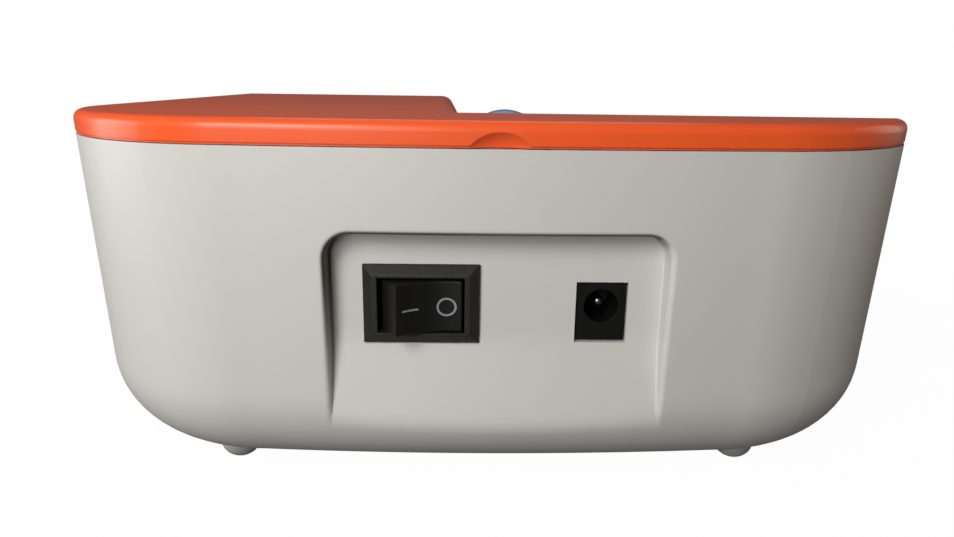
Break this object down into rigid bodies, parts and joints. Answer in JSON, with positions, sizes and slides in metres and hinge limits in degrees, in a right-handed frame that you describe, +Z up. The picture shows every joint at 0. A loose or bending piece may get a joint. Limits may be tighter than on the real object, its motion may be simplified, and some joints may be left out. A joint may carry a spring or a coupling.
{
  "type": "progesterone analyzer",
  "caption": "Desktop immunoassay analyzer with a wedge-shaped case, motor-driven cartridge tray, touch display, strip printer, rear rocker switch and barrel power inlet.",
  "frame": {"origin": "middle of the footprint, on the surface that the feet stand on", "axes": "+Y from the rear panel towards the user, +X to the right seen from behind, +Z up"},
  "size_m": [0.1722, 0.2155, 0.0737],
  "materials": {
    "grey_case": "fine satin texture, warm light grey moulded ABS",
    "orange_cover": "smooth semi-gloss orange moulded ABS",
    "blue_key": "glossy blue moulded key",
    "black_plastic": "fine spark-textured black nylon",
    "white_plastic": "natural white acetal",
    "display_glass": "dark polished touch glass",
    "clear_glass": "polished optical glass",
    "foot_rubber": "grey bumper rubber",
    "steel": "plated steel",
    "circuit_board": "green solder mask on glass laminate",
    "red_lead": "red flexible insulation"
  },
  "bodies": {
    "case": {"bottom_housing": "grey_case", "top_cover": "orange_cover", "foot_rear_left": "foot_rubber", "foot_rear_right": "foot_rubber", "foot_front_left": "foot_rubber", "foot_front_right": "foot_rubber", "case_screw_rear_left": "steel", "case_screw_rear_right": "steel", "case_screw_front_left": "steel", "case_screw_front_right": "steel", "switch_frame": "black_plastic", "switch_terminal_1": "steel", "switch_terminal_2": "steel", "jack_body": "black_plastic", "jack_pin": "steel", "jack_contact": "steel", "power_board": "circuit_board", "filter_capacitor": "black_plastic", "tact_switch": "black_plastic", "display_glass": "display_glass", "lcd_module": "steel", "main_board": "circuit_board", "board_screw_1": "steel", "board_screw_2": "steel", "board_screw_3": "steel", "board_screw_4": "steel", "processor": "black_plastic", "buzzer": "black_plastic", "tray_rail_left": "black_plastic", "tray_rail_right": "black_plastic", "stepper_motor": "steel", "motor_bracket": "steel", "tray_sensor": "black_plastic", "head_bridge": "black_plastic", "optical_head": "black_plastic", "head_lens": "clear_glass", "head_filter": "clear_glass", "photodiode_board": "circuit_board", "excitation_led": "clear_glass", "printer_bay": "black_plastic", "hinge_pin": "steel", "print_head": "steel", "tear_bar": "steel", "switch_lead": "red_lead", "board_lead": "black_plastic"},
    "rocker": {"switch_rocker": "black_plastic"},
    "start_key": {"start_button": "blue_key"},
    "tray": {"cartridge_tray": "white_plastic", "tray_front": "grey_case"},
    "pinion": {"drive_pinion": "white_plastic", "motor_shaft": "steel"},
    "door": {"printer_door": "orange_cover"},
    "platen": {"platen_roller": "black_plastic"},
    "release_key": {"door_release": "blue_key"}
  },
  "joints": [
    {"name": "rocker_tilt", "type": "hinge", "parent": "case", "child": "rocker", "pos_m": [-0.01365, -0.10046, 0.04037], "axis": [0, 0, 1], "range_deg": [-34.2, 0]},
    {"name": "start_press", "type": "slide", "parent": "case", "child": "start_key", "axis": [0, 0.108, 0.9942], "range_m": [-0.0006, 0], "stiffness_N_per_m": 300, "springref_m": 0.001},
    {"name": "tray_slide", "type": "slide", "parent": "case", "child": "tray", "axis": [0, 1, 0], "range_m": [0, 0.075]},
    {"name": "pinion_spin", "type": "hinge", "parent": "case", "child": "pinion", "pos_m": [0.01075, 0.082, 0.031], "axis": [0, 0, 1], "range_deg": [0, 537.2]},
    {"name": "door_swing", "type": "hinge", "parent": "case", "child": "door", "pos_m": [-0.04573, 0.08439, 0.05438], "axis": [-1, 0, 0], "range_deg": [0, 88]},
    {"name": "platen_spin", "type": "hinge", "parent": "door", "child": "platen", "pos_m": [-0.04573, 0.05983, 0.0593], "axis": [1, 0, 0], "continuous": true},
    {"name": "release_press", "type": "slide", "parent": "case", "child": "release_key", "axis": [0, 0.3955, 0.9184], "range_m": [-0.0012, 0], "stiffness_N_per_m": 300, "springref_m": 0.001}
  ],
  "couplings": [
    {"joint": "pinion_spin", "follows": "tray_slide", "rad_per_m": 125}
  ]
}
